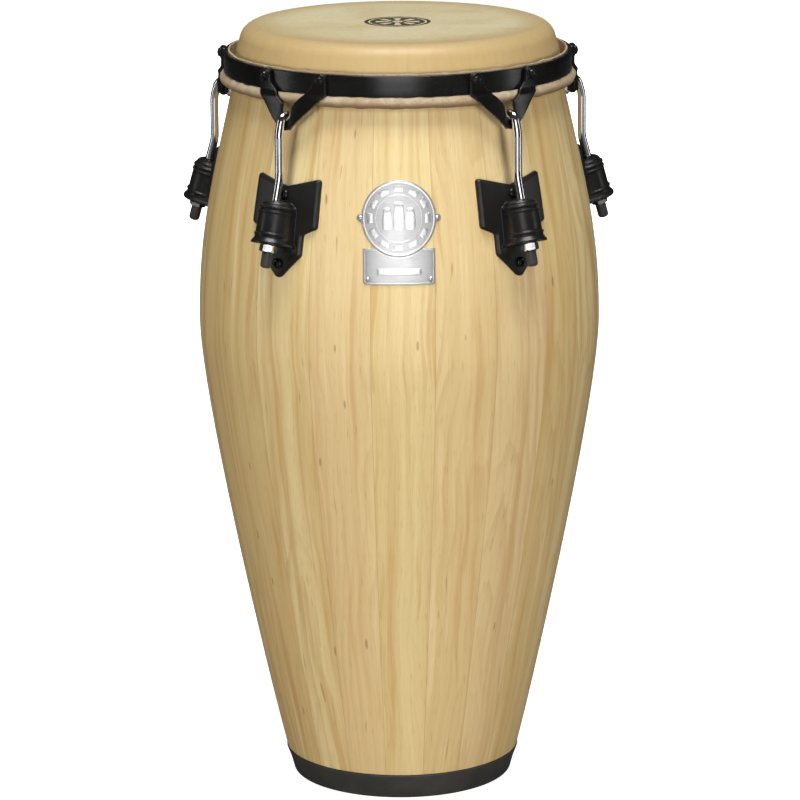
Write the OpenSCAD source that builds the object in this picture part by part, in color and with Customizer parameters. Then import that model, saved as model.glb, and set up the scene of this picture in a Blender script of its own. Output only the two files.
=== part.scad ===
// A stave-built conga: wooden shell, rope-tucked hide head, steel tuning ring
// and five side lugs with hook rods. Origin on the drum's axis at floor level,
// +Z up, the badge faces -Y. Millimetres.

/* [Shell] */
// Overall height from the floor to the playing surface
drum_h = 711; // [700:1:720]
// Radius of the shell at its widest
belly_r = 185; // [180:1:190]
// Height of the widest part
belly_z = 437; // [420:1:450]
// Radius of the shell just under the head
mouth_r = 145; // [142:1:147]
// Thickness of the wooden wall
wall = 13; // [10:0.5:14]
// Thickness of the hide
hide = 1.8; // [1.5:0.1:2.2]

/* [Foot] */
// Height of the rubber foot
foot_h = 24.6; // [20:0.2:30]
// Radius of the opening at the bottom
port_r = 91; // [86:1:92]

/* [Tuning ring] */
// Outside radius of the steel band
ring_r = 159.3; // [158.5:0.1:160]
// Height of the steel band
ring_h = 19; // [16:0.5:20]
// Thickness of the steel band
ring_t = 4; // [3:0.5:4]
// Radius of the bare flesh hoop rod
hoop_rod_r = 3.2; // [3:0.1:3.9]

/* [Lugs] */
// Lean of the lower hook rod from the vertical, degrees
rod_lean = 16; // [14:0.5:18]
// Radius of the hook rod
rod_r = 3.97; // [3.5:0.01:4]
// Thickness of the hanger steel
hanger_t = 4; // [3:0.5:4]
// Thickness of the side plate
plate_t = 4.5; // [3:0.5:5]
// Half width of the receiver on the side plate
receiver_r = 16; // [15:0.5:18]

/* [Badge] */
// Radius of the round badge
badge_r = 33; // [30:1:36]
// Thickness of the badge metal
badge_t = 1.2; // [0.8:0.1:2]

/* [Hidden] */
$fn = 64;
wood = "burlywood";
metal = "silver";
black = "dimgray";

// Staves: twenty of them, with one joint just left of the front
stave_count = 20;
stave_angle = 360 / stave_count;
front = -90;
first_joint = front - 8;

// Five lugs, two of them flanking the front
lug_count = 5;
function lug_azimuth(i) = front + (i - 0.5) * 360 / lug_count;

// Shell outline, as [radius, height], from two Bezier curves that meet at the belly
shell_z = 4;
bottom_r = 102.8;
neck_z = drum_h - 25;
mouth_slope = 0.211;
lower_curve = [[bottom_r, shell_z], [108, 9], [belly_r, belly_z - 83], [belly_r, belly_z]];
upper_curve = [[belly_r, belly_z], [belly_r, belly_z + 91],
  [mouth_r + mouth_slope * 114, neck_z - 114], [mouth_r, neck_z]];
function bezier(c, t) = pow(1 - t, 3) * c[0] + 3 * pow(1 - t, 2) * t * c[1]
  + 3 * (1 - t) * t * t * c[2] + pow(t, 3) * c[3];
curve_steps = 16;
shell_curve = concat(
  [for (i = [0:curve_steps]) bezier(lower_curve, i / curve_steps)],
  [for (i = [1:curve_steps]) bezier(upper_curve, i / curve_steps)]);
radius_table = [for (p = shell_curve) [p[1], p[0]]];
function shell_r(z) = z > neck_z ? mouth_r - mouth_slope * (z - neck_z) : lookup(z, radius_table);
function shell_tilt(z) = atan((shell_r(z - 5) - shell_r(z + 5)) / 10);

// Rounded top edge that the head turns over
edge_round = 16;
edge_z = drum_h - edge_round;
edge_turn = 90 - atan(mouth_slope);
edge_r = mouth_r - mouth_slope * (edge_z - neck_z) - (edge_round - hide) / sin(edge_turn);
function edge_arc(radius) = [for (i = [0:10])
  [edge_r + radius * sin(edge_turn * (1 - i / 10)), edge_z + radius * cos(edge_turn * (1 - i / 10))]];
split_z = drum_h - 21;

// Tuning ring and the hoop under it
ring_z = neck_z - ring_h + 0.4;
wrap_r = hoop_rod_r + hide;
hoop_r = ring_r - 1.45;
hoop_z = ring_z - wrap_r;
tuck_r = ring_r - ring_t - hide;

// Inside of the stretched hide, clear of the shell even with the ring pulled right down
tuning_travel = 6;
function collar_r(z) =
  shell_r(z - tuning_travel * (split_z - z) / (split_z - hoop_z + 1)) + 0.3;

// Hook hanger, seen from the front
rivet_y = 30;
rivet_z = ring_z + 13.4;
pad_r = 6.5;
slot_r = 5.5;
crotch_z = ring_z - 23.6;
vertex_r = 8.5;
vertex_x = 170;

// Hook rod: over the hanger, down, then leaning out through the receiver to the nut
nut_x = 197.3;
nut_z = 533;
rod_x = 179.6;
neck_lean = 16;
hook_bend = 6.8;
hook_z = crotch_z - 1.5;
hook_tip_z = hook_z - 7.5;
knee_top_z = hook_z + hook_bend * sin(neck_lean)
  - (rod_x - vertex_x - hook_bend * cos(neck_lean)) / tan(neck_lean);
knee_low_z = nut_z + (nut_x - rod_x) / tan(rod_lean);
rod_end = 15.5;

// Nut, cap and receiver, measured along the leaning rod from the nut's centre
nut_h = 6.8;
nut_flats = 14;
nut_bore_r = rod_r + 0.15;
cap_gap = 0.8;
cap_r = 5;
receiver_z = nut_h / 2 + 0.1;
receiver_h = 39.5;
receiver_back = 3.5;
receiver_bore_r = 5.5;

// Side plate and its two bolts
plate_top_z = 594;
plate_low_z = 504;
upper_bolt_z = 577;
lower_bolt_z = 516.5;
bolt_r = 3;

// Badge
badge_z = 562;
badge_ear_y = 34;
plate_half_w = 31.8;
plate_half_h = 15.8;
name_z = 519.7;
nail_r = 0.8;

// ---------- helpers ----------

// Turns a piece made on the +X side to its lug
module at_lug(i) {
  rotate([0, 0, lug_azimuth(i)]) children();
}

// Frame along the leaning rod: origin at the nut, +Z up the rod
module along_rod() {
  translate([nut_x, 0, nut_z]) rotate([0, -rod_lean, 0]) children();
}

// Frame on the shell's surface at height z: +X points straight out of the wood
module on_shell(z, side = 0) {
  angle = asin(side / shell_r(z));
  rotate([0, 0, angle]) translate([shell_r(z), 0, z]) rotate([0, -shell_tilt(z), 0]) children();
}

// A layer of the given thickness lying on the shell between two heights
module shell_layer(inner, outer, low, high) {
  points = [for (p = shell_curve) if (p[1] > low && p[1] < high) p];
  rotate_extrude($fn = 180) polygon(concat(
    [[shell_r(low) + inner, low]],
    [for (p = points) p + [inner, 0]],
    [[shell_r(high) + inner, high], [shell_r(high) + outer, high]],
    [for (k = [len(points) - 1:-1:0]) points[k] + [outer, 0]],
    [[shell_r(low) + outer, low]]));
}

// An outline drawn in Y and Z, pushed out along +X
module facing_out(from, to) {
  translate([from, 0, 0]) rotate([90, 0, 90]) linear_extrude(to - from) children();
}

function arc(c, r, a0, a1, n = 5) = [for (i = [0:n])
  c + r * [cos(a0 + (a1 - a0) * i / n), sin(a0 + (a1 - a0) * i / n)]];

// ---------- shell ----------

module stave(i) {
  start = first_joint + (i - 1) * stave_angle;
  rebate_r = shell_r(foot_h) - 4;
  outer = concat([[bottom_r - 3, shell_z], [rebate_r, foot_h], [shell_r(foot_h), foot_h]],
    [for (p = shell_curve) if (p[1] > foot_h) p], edge_arc(edge_round - hide));
  inner = [for (k = [len(shell_curve) - 1:-1:0]) if (shell_curve[k][1] > foot_h)
    shell_curve[k] - [wall, 0]];
  top_inner_r = shell_r(drum_h - 6) - wall;
  color(wood) difference() {
    rotate([0, 0, start]) rotate_extrude(angle = stave_angle, $fn = 180) polygon(concat(
      outer, [[top_inner_r, drum_h - 4]], inner,
      [[port_r + 1, shell_z + 6], [port_r + 1, shell_z]]));
    for (k = [1:lug_count])
      if (abs(lug_azimuth(k) - start - stave_angle / 2) < stave_angle / 2
        || abs(lug_azimuth(k) - start + 360 - stave_angle / 2) < stave_angle / 2)
        at_lug(k) bolt_holes();
  }
}

module bolt_holes() {
  for (z = [upper_bolt_z, lower_bolt_z])
    on_shell(z) rotate([0, 90, 0]) cylinder(h = 60, r = bolt_r, center = true, $fn = 32);
}

module foot_ring() {
  color(black) rotate_extrude($fn = 180) polygon(concat(
    [[port_r, 0]],
    arc([bottom_r - 1.3, 3], 3, -90, -12),
    [[shell_r(foot_h) + 0.8, foot_h - 1], [shell_r(foot_h) + 0.2, foot_h],
      [shell_r(foot_h) - 4, foot_h], [bottom_r - 3, shell_z], [port_r, shell_z]]));
}

// ---------- head ----------

module drum_skin() {
  outer = edge_arc(edge_round);
  inner = edge_arc(edge_round - hide);
  low_r = shell_r(split_z);
  color("wheat") rotate_extrude($fn = 180) polygon(concat(
    [[0, drum_h - hide]], [for (k = [10:-1:0]) inner[k]], [[low_r, split_z]],
    [[low_r + hide / sin(edge_turn), split_z]], outer, [[0, drum_h]]));
}

module skin_collar() {
  heights = [for (k = [0:6]) hoop_z - 1 + k * (split_z - 0.3 - hoop_z + 1) / 6];
  color("wheat") union() {
    rotate_extrude($fn = 180) polygon(concat(
      [for (z = heights) [collar_r(z), z]],
      [for (k = [6:-1:1]) [collar_r(heights[k]) + 0.85 * hide, heights[k]]],
      [[hoop_r - 4.6, hoop_z + 1], [hoop_r - 4.6, hoop_z - 2.4]]));
    difference() {
      rotate_extrude($fn = 180) translate([hoop_r, hoop_z]) circle(r = wrap_r);
      rotate_extrude($fn = 180) translate([hoop_r, hoop_z]) circle(r = hoop_rod_r);
    }
    difference() {
      rotate_extrude($fn = 180) polygon([[tuck_r, hoop_z + 3], [tuck_r + hide, hoop_z + 3],
        [tuck_r + hide, neck_z + 1.8], [tuck_r, neck_z + 1.8]]);
      rotate_extrude($fn = 180) translate([hoop_r, hoop_z]) circle(r = hoop_rod_r);
    }
  }
}

module flesh_hoop() {
  color(metal) rotate_extrude($fn = 180) translate([hoop_r, hoop_z]) circle(r = hoop_rod_r);
}

// ---------- tuning ring and hangers ----------

module tuning_ring() {
  inner = ring_r - ring_t;
  soft = 0.6;
  color(black) difference() {
    rotate_extrude($fn = 180) polygon([
      [inner, ring_z], [ring_r - soft, ring_z], [ring_r, ring_z + soft],
      [ring_r, ring_z + ring_h - soft], [ring_r - soft, ring_z + ring_h], [inner, ring_z + ring_h]]);
    for (i = [1:lug_count]) at_lug(i) rivet_holes();
  }
}

module at_rivets() {
  for (side = [-1, 1])
    rotate([0, 0, side * asin(rivet_y / ring_r)]) translate([ring_r, 0, rivet_z])
      rotate([0, 90, 0]) children();
}

module rivet_holes() {
  at_rivets() cylinder(h = 20, r = 2.5, center = true, $fn = 32);
}

// The steel the hanger is cut from, bent to hug the ring, clear the hoop and stand off the shell
module hanger_sheet() {
  out_x = vertex_x + hanger_t / 2;
  in_x = vertex_x - hanger_t / 2;
  clear_r = hoop_r + wrap_r + 0.45;
  rotate_extrude($fn = 180) polygon([
    [ring_r, ring_z + ring_h + 2], [ring_r, ring_z + 1.2], [clear_r, ring_z - 3.4],
    [clear_r, ring_z - 7.4], [in_x, ring_z - 22], [in_x, ring_z - 40],
    [out_x, ring_z - 40], [out_x, ring_z - 21.4], [clear_r + hanger_t, ring_z - 6.8],
    [clear_r + hanger_t, ring_z - 1.8], [ring_r + hanger_t, ring_z + 2.8],
    [ring_r + hanger_t, ring_z + ring_h + 2]]);
}

module hanger_outline() {
  slot_z = crotch_z + slot_r;
  low_z = slot_z - 6;
  turn_z = low_z - vertex_r * sin(45);
  turn_y = vertex_r * cos(45);
  outer_y = rivet_y + pad_r;
  inner_y = rivet_y - pad_r;
  difference() {
    union() {
      polygon([[-outer_y, rivet_z], [-outer_y, turn_z + outer_y - turn_y], [-turn_y, turn_z],
        [turn_y, turn_z], [outer_y, turn_z + outer_y - turn_y], [outer_y, rivet_z]]);
      translate([0, low_z]) circle(r = vertex_r);
      for (side = [-1, 1]) translate([side * rivet_y, rivet_z]) circle(r = pad_r);
    }
    polygon([[-slot_r, slot_z], [slot_r, slot_z], [slot_r, slot_z + 8.5],
      [inner_y, slot_z + 8.5 + inner_y - slot_r], [inner_y, rivet_z + 20],
      [-inner_y, rivet_z + 20], [-inner_y, slot_z + 8.5 + inner_y - slot_r], [-slot_r, slot_z + 8.5]]);
    translate([0, slot_z]) circle(r = slot_r);
  }
}

module hook_hanger(i) {
  color(black) at_lug(i) difference() {
    intersection() {
      facing_out(140, 190) hanger_outline();
      hanger_sheet();
    }
    rivet_holes();
  }
}

module hanger_rivets() {
  head = hanger_t;
  color(black) for (i = [1:lug_count]) at_lug(i) at_rivets() rotate_extrude($fn = 32) polygon([
    [0, -ring_t], [2.5, -ring_t], [2.5, head + 0.15], [5, head + 0.15], [5, head + 0.9],
    [4.2, head + 1.1], [3.6, head + 2.4], [2.2, head + 3.3], [0, head + 3.6]]);
}

// ---------- side plates ----------

module plate_outline() {
  polygon(concat(
    arc([31.2, plate_top_z - 3], 3, 10, 100),
    [[0, plate_top_z - 9]],
    arc([-31.2, plate_top_z - 3], 3, 80, 170),
    arc([-33, plate_top_z - 42.5], 2.5, 180, 250, 3),
    [[-22.8, plate_top_z - 50]],
    arc([-19.6, plate_low_z + 21], 3, 180, 225, 3),
    arc([0, plate_low_z + 5], 5, 225, 315),
    arc([19.6, plate_low_z + 21], 3, 315, 360, 3),
    [[22.8, plate_top_z - 50]],
    arc([33, plate_top_z - 42.5], 2.5, 290, 360, 3)));
}

// Plan of the block between receiver and plate, narrower where it meets the plate
module bridge(back, half) {
  polygon([[0, -half], [0, half], [-back, half - 3], [-back, 3 - half]]);
}

// The hollow receiver that the rod runs through, standing along the rod
module receiver() {
  z0 = receiver_z;
  top = z0 + receiver_h;
  back = 26;
  along_rod() translate([-receiver_back, 0, 0]) {
    rotate_extrude() polygon([[0, z0], [receiver_r + 2.5, z0], [receiver_r + 2.5, z0 + 2],
      [receiver_r, z0 + 7], [receiver_r, top - 9.5], [receiver_r - 0.8, top - 9],
      [receiver_r - 0.8, top - 7.5], [receiver_r, top - 7], [receiver_r, top - 5],
      [receiver_r - 1.6, top - 4.5], [receiver_r - 2.4, top - 2.6], [receiver_r - 4.6, top - 0.9],
      [receiver_r - 7.5, top], [0, top]]);
    translate([0, 0, z0]) linear_extrude(receiver_h - 5) bridge(back, receiver_r);
    translate([0, 0, z0]) linear_extrude(2) bridge(back, receiver_r + 2.5);
  }
}

module side_plate(i) {
  color(black) at_lug(i) difference() {
    union() {
      intersection() {
        facing_out(130, 230) plate_outline();
        shell_layer(0, plate_t, plate_low_z - 4, plate_top_z + 4);
      }
      difference() {
        receiver();
        shell_layer(-60, 0, plate_low_z - 6, plate_top_z + 6);
      }
    }
    along_rod() translate([0, 0, -5]) cylinder(h = 60, r = receiver_bore_r, $fn = 48);
    bolt_holes();
  }
}

module plate_bolts() {
  color(black) for (i = [1:lug_count]) at_lug(i)
    for (z = [upper_bolt_z, lower_bolt_z]) on_shell(z) rotate([0, 90, 0])
      rotate_extrude($fn = 32) polygon([[0, -wall - 9], [bolt_r, -wall - 9], [bolt_r, plate_t],
        [4.6, plate_t], [4.6, plate_t + 1.2], [3.8, plate_t + 2.3], [2, plate_t + 2.9],
        [0, plate_t + 3]]);
}

module inside_shell(z, depth) {
  on_shell(z) translate([-wall - 0.4 - depth, 0, 0]) rotate([0, 90, 0]) children();
}

module plate_washers() {
  color(metal) for (i = [1:lug_count]) at_lug(i) for (z = [upper_bolt_z, lower_bolt_z])
    inside_shell(z, 1.6) difference() {
      cylinder(h = 1.6, r = 8, $fn = 32);
      translate([0, 0, -1]) cylinder(h = 4, r = bolt_r + 0.2, $fn = 32);
    }
}

module plate_nuts() {
  color(metal) for (i = [1:lug_count]) at_lug(i) for (z = [upper_bolt_z, lower_bolt_z])
    inside_shell(z, 6.6) difference() {
      cylinder(h = 5, r = 5 / cos(30), $fn = 6);
      translate([0, 0, -1]) cylinder(h = 7, r = bolt_r, $fn = 32);
    }
}

// ---------- tension hooks ----------

// Knuckle that rounds the turn between two stretches of the rod
module knuckle(x, z) {
  translate([x, 0, z]) sphere(r = rod_r + 0.06, $fn = 48);
}

module tension_hook(i) {
  lean_x = vertex_x + hook_bend * cos(neck_lean);
  lean_z = hook_z + hook_bend * sin(neck_lean);
  color(metal) at_lug(i) {
    translate([vertex_x - hook_bend, 0, hook_tip_z])
      cylinder(h = hook_z - hook_tip_z, r = rod_r, $fn = 32);
    knuckle(vertex_x - hook_bend, hook_z);
    translate([vertex_x, 0, hook_z]) rotate([90, 0, 0]) rotate([0, 0, neck_lean])
      rotate_extrude(angle = 180 - neck_lean) translate([hook_bend, 0]) circle(r = rod_r, $fn = 32);
    knuckle(lean_x, lean_z);
    translate([lean_x, 0, lean_z]) rotate([0, 180 - neck_lean, 0])
      cylinder(h = (rod_x - lean_x) / sin(neck_lean), r = rod_r, $fn = 32);
    knuckle(rod_x, knee_top_z);
    translate([rod_x, 0, knee_low_z]) cylinder(h = knee_top_z - knee_low_z, r = rod_r, $fn = 32);
    knuckle(rod_x, knee_low_z);
    along_rod() translate([0, 0, -rod_end])
      cylinder(h = (knee_low_z - nut_z) / cos(rod_lean) + rod_end, r = rod_r, $fn = 32);
  }
}

module tension_nut(i) {
  color(metal) at_lug(i) along_rod() difference() {
    cylinder(h = nut_h, r = nut_flats / 2 / cos(30), center = true, $fn = 6);
    cylinder(h = nut_h + 2, r = nut_bore_r, center = true, $fn = 48);
  }
}

module end_cap(i) {
  mouth = -nut_h / 2 - cap_gap;
  tip = -rod_end - 2.2;
  color(black) at_lug(i) along_rod() rotate_extrude($fn = 48) polygon(concat(
    [[0, tip]], arc([cap_r - 3, tip + 3], 3, -90, 0), [[cap_r, mouth], [rod_r, mouth],
      [rod_r, -rod_end], [0, -rod_end]]));
}

// ---------- badge ----------

module badge_disc() {
  color(metal) rotate([0, 0, front]) difference() {
    intersection() {
      facing_out(140, 200) {
        translate([0, badge_z]) circle(r = badge_r);
        for (side = [-1, 1]) translate([side * badge_ear_y, badge_z]) circle(r = 3.2);
      }
      shell_layer(0, badge_t, badge_z - badge_r - 2, badge_z + badge_r + 2);
    }
    for (side = [-1, 1]) nail_hole(badge_z, side * badge_ear_y);
  }
}

module name_plate() {
  color(metal) rotate([0, 0, front]) difference() {
    intersection() {
      facing_out(140, 200) difference() {
        polygon(concat(
          [[plate_half_w, name_z + plate_half_h], [-plate_half_w, name_z + plate_half_h]],
          arc([3 - plate_half_w, name_z - plate_half_h + 3], 3, 180, 270, 4),
          arc([plate_half_w - 3, name_z - plate_half_h + 3], 3, 270, 360, 4)));
        translate([0, badge_z]) circle(r = badge_r + 0.2);
      }
      shell_layer(0, badge_t, name_z - plate_half_h - 2, name_z + plate_half_h + 2);
    }
    for (side = [-1, 1]) nail_hole(name_z - 11.2, side * 28);
  }
}

module nail_hole(z, side) {
  on_shell(z, side) rotate([0, 90, 0]) cylinder(h = 20, r = nail_r, center = true, $fn = 24);
}

module nail(z, side) {
  on_shell(z, side) rotate([0, 90, 0]) rotate_extrude($fn = 24) polygon([[0, -9], [nail_r, -7],
    [nail_r, badge_t + 0.1], [2.1, badge_t + 0.1], [1.8, badge_t + 0.8], [0, badge_t + 1.2]]);
}

module badge_nails() {
  color(metal) rotate([0, 0, front]) for (side = [-1, 1]) {
    nail(badge_z, side * badge_ear_y);
    nail(name_z - 11.2, side * 28);
  }
}

stave(1);  // stave_01
stave(2);  // stave_02
stave(3);  // stave_03
stave(4);  // stave_04
stave(5);  // stave_05
stave(6);  // stave_06
stave(7);  // stave_07
stave(8);  // stave_08
stave(9);  // stave_09
stave(10);  // stave_10
stave(11);  // stave_11
stave(12);  // stave_12
stave(13);  // stave_13
stave(14);  // stave_14
stave(15);  // stave_15
stave(16);  // stave_16
stave(17);  // stave_17
stave(18);  // stave_18
stave(19);  // stave_19
stave(20);  // stave_20
foot_ring();
drum_skin();
skin_collar();
flesh_hoop();
tuning_ring();
side_plate(1);  // side_plate_1
side_plate(2);  // side_plate_2
side_plate(3);  // side_plate_3
side_plate(4);  // side_plate_4
side_plate(5);  // side_plate_5
hook_hanger(1);  // hook_hanger_1
hook_hanger(2);  // hook_hanger_2
hook_hanger(3);  // hook_hanger_3
hook_hanger(4);  // hook_hanger_4
hook_hanger(5);  // hook_hanger_5
tension_hook(1);  // tension_hook_1
tension_hook(2);  // tension_hook_2
tension_hook(3);  // tension_hook_3
tension_hook(4);  // tension_hook_4
tension_hook(5);  // tension_hook_5
tension_nut(1);  // tension_nut_1
tension_nut(2);  // tension_nut_2
tension_nut(3);  // tension_nut_3
tension_nut(4);  // tension_nut_4
tension_nut(5);  // tension_nut_5
end_cap(1);  // end_cap_1
end_cap(2);  // end_cap_2
end_cap(3);  // end_cap_3
end_cap(4);  // end_cap_4
end_cap(5);  // end_cap_5
hanger_rivets();
plate_bolts();
plate_washers();
plate_nuts();
badge_disc();
name_plate();
badge_nails();
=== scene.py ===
"""Looks for a stave-built conga drum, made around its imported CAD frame.

The drum stands on its rubber foot at z = 0, its axis is the Z axis and its badge faces -Y.
Lengths in the shape code are millimetres; mesh_piece() turns them into metres.
"""

import math

import bmesh
import bpy
import numpy as np
from mathutils import Matrix, Vector


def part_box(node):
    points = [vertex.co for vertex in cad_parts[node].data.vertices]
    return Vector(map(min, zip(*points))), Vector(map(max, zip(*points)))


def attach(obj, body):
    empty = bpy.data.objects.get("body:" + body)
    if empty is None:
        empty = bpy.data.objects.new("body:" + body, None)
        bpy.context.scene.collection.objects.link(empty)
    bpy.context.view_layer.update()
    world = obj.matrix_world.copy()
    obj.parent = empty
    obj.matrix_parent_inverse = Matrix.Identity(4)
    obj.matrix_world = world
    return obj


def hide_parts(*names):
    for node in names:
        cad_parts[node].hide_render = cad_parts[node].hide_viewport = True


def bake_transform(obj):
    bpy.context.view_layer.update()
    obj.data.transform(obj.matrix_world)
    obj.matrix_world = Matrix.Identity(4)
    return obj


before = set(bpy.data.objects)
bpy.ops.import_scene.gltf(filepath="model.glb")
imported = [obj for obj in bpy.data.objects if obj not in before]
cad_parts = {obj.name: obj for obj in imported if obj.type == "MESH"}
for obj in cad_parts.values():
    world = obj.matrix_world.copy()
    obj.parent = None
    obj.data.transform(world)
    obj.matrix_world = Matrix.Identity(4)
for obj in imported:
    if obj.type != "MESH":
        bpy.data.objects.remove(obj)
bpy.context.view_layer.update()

MM = 0.001
SHELL = "shell"
RING = "tuning_ring"
LUGS = range(1, 6)

# ---------------------------------------------------------------- dimensions, in mm

DRUM_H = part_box("drum_skin")[1].z / MM
FOOT_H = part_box("foot_ring")[1].z / MM
PORT_R = 91.0
BELLY = (185.0, 437.0)
NECK = (145.0, DRUM_H - 25.0)
NECK_SLOPE = 0.211
WALL = 13.0
HIDE = 1.8
EDGE_ROUND = 16.0
RING_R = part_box("tuning_ring")[1].y / MM
RING_Z0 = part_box("tuning_ring")[0].z / MM
RING_Z1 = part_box("tuning_ring")[1].z / MM
RING_T = 4.0
HOOP_ROD_R = 3.2
HOOP_Z = RING_Z0 - HOOP_ROD_R - HIDE
HOOP_R = RING_R - 1.45


def lug_turn(i):
    """Azimuth of lug i from +X, in radians; the front is -90 degrees."""
    return math.radians(-90 + (i - 0.5) * 72)


# ---------------------------------------------------------------- shell outline


def bezier(c, t):
    c = np.array(c, float)
    t = np.asarray(t, float)[:, None]
    s = 1 - t
    return s**3 * c[0] + 3 * s**2 * t * c[1] + 3 * s * t**2 * c[2] + t**3 * c[3]


def shell_outline():
    """The shell's outside from the floor end to the neck, as rows of (radius, height)."""
    t = np.linspace(0, 1, 97)
    lower = bezier([(102.8, 4), (108, 9), (BELLY[0], BELLY[1] - 83), BELLY], t)
    upper = bezier([BELLY, (BELLY[0], BELLY[1] + 91),
                    (NECK[0] + NECK_SLOPE * 114, NECK[1] - 114), NECK], t)
    return np.vstack([lower, upper[1:]])


OUTLINE = shell_outline()


def shell_r(z):
    """The shell's outside radius at height z."""
    z = np.asarray(z, float)
    below = np.interp(z, OUTLINE[:, 1], OUTLINE[:, 0])
    return np.where(z > NECK[1], NECK[0] - NECK_SLOPE * (z - NECK[1]), below)


EDGE_Z = DRUM_H - EDGE_ROUND
EDGE_TURN = math.pi / 2 - math.atan(NECK_SLOPE)
EDGE_R = float(shell_r(EDGE_Z)) - (EDGE_ROUND - HIDE) / math.sin(EDGE_TURN)


def edge_arc(radius, steps=20):
    """The rounded top edge, from its outer foot up to the flat top."""
    a = EDGE_TURN * (1 - np.arange(steps + 1) / steps)
    return np.column_stack([EDGE_R + radius * np.sin(a), EDGE_Z + radius * np.cos(a)])


# ---------------------------------------------------------------- mesh helpers


def rounded(corners, step=12, closed=True):
    """A polyline through corners given as (x, y, radius), each turned into an arc."""
    out = []
    n = len(corners)
    for i, (x, y, r) in enumerate(corners):
        p = Vector((x, y))
        if r <= 0 or (not closed and i in (0, n - 1)):
            out.append((x, y))
            continue
        a = (Vector(corners[i - 1][:2]) - p).normalized()
        b = (Vector(corners[(i + 1) % n][:2]) - p).normalized()
        half = math.acos(max(-1.0, min(1.0, a.dot(b)))) / 2
        back = r / math.tan(half)
        centre = p + (a + b).normalized() * (r / math.sin(half))
        start, end = p + a * back - centre, p + b * back - centre
        turn = math.atan2(start.x * end.y - start.y * end.x, start.dot(end))
        k = max(2, int(abs(math.degrees(turn)) / step))
        for j in range(k + 1):
            q = Matrix.Rotation(turn * j / k, 2) @ start + centre
            out.append((q.x, q.y))
    return out


def weld(me, near=1e-6):
    """Joins a mesh's doubled vertices and turns its faces outward."""
    bm = bmesh.new()
    bm.from_mesh(me)
    bmesh.ops.remove_doubles(bm, verts=bm.verts, dist=near)
    bmesh.ops.recalc_face_normals(bm, faces=bm.faces)
    bm.to_mesh(me)
    bm.free()


def raw_mesh(name, verts, faces):
    """A mesh in metres from vertices in mm."""
    me = bpy.data.meshes.new(name)
    me.from_pydata((np.asarray(verts, float) * MM).tolist(), [], [list(f) for f in faces])
    return me


def linked(name, data):
    """A new object in the scene."""
    ob = bpy.data.objects.new(name, data)
    bpy.context.scene.collection.objects.link(ob)
    return ob


def applied(ob):
    """The object's mesh with its modifiers applied, which then come off it."""
    bpy.context.view_layer.update()
    me = bpy.data.meshes.new_from_object(
        ob.evaluated_get(bpy.context.evaluated_depsgraph_get()))
    ob.modifiers.clear()
    return me


def face_list(bm):
    """Vertices and faces of a bmesh, cut into triangles; the bmesh is freed."""
    bmesh.ops.triangulate(bm, faces=bm.faces)
    bm.verts.index_update()
    verts = np.array([v.co[:] for v in bm.verts])
    faces = [tuple(v.index for v in f.verts) for f in bm.faces]
    bm.free()
    return verts, faces


def mesh_piece(name, verts, faces, materials, body, slot, replaces=(), sharp=32, turn=0.0,
               second_from=None):
    """A piece from vertices in mm. turn spins it round the drum's axis, in radians.

    Faces from number second_from onwards take the second material.
    """
    me = raw_mesh(name, verts, faces)
    if second_from is not None:
        me.polygons.foreach_set("material_index",
                                [int(k >= second_from) for k in range(len(faces))])
    weld(me)
    return add_piece(name, me, materials, body, replaces, sharp, turn)


def add_piece(name, me, materials, body, replaces=(), sharp=32, turn=0.0):
    """Puts a finished mesh in the scene on its body, smooth apart from its sharp edges."""
    if not me.get("finished"):
        me.shade_smooth()
        me.set_sharp_from_angle(angle=math.radians(sharp))
        for m in materials if isinstance(materials, (list, tuple)) else [materials]:
            me.materials.append(m)
        me["finished"] = True
    ob = linked(name, me)
    ob.matrix_world = Matrix.Rotation(turn, 4, "Z")
    if body:
        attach(ob, body)
    if replaces:
        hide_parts(*replaces)
    return ob


def turned(profile, steps=240, start=0.0, turn=360.0, closed=True):
    """Vertices and faces of a profile of (radius, height) turned round the Z axis."""
    p = np.asarray(profile, float)
    full = turn >= 359.999
    rows = steps if full else steps + 1
    a = np.radians(start + turn * np.arange(rows) / steps)
    m = len(p)
    verts = np.empty((rows, m, 3))
    verts[:, :, 0] = np.cos(a)[:, None] * p[:, 0]
    verts[:, :, 1] = np.sin(a)[:, None] * p[:, 0]
    verts[:, :, 2] = p[:, 1]
    faces = []
    for i in range(steps):
        k = (i + 1) % rows
        for j in range(m if closed else m - 1):
            q = (j + 1) % m
            faces.append((i * m + j, k * m + j, k * m + q, i * m + q))
    if closed and not full:
        faces.append(tuple(range(m)))
        faces.append(tuple((rows - 1) * m + j for j in range(m)))
    return verts.reshape(-1, 3), faces


def densify(points, step):
    """Points along a closed outline no further apart than step."""
    out = []
    for i, p in enumerate(points):
        q = points[(i + 1) % len(points)]
        d = math.dist(p, q)
        k = max(1, int(math.ceil(d / step)))
        out += [(p[0] + (q[0] - p[0]) * j / k, p[1] + (q[1] - p[1]) * j / k) for j in range(k)]
    return out


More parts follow.
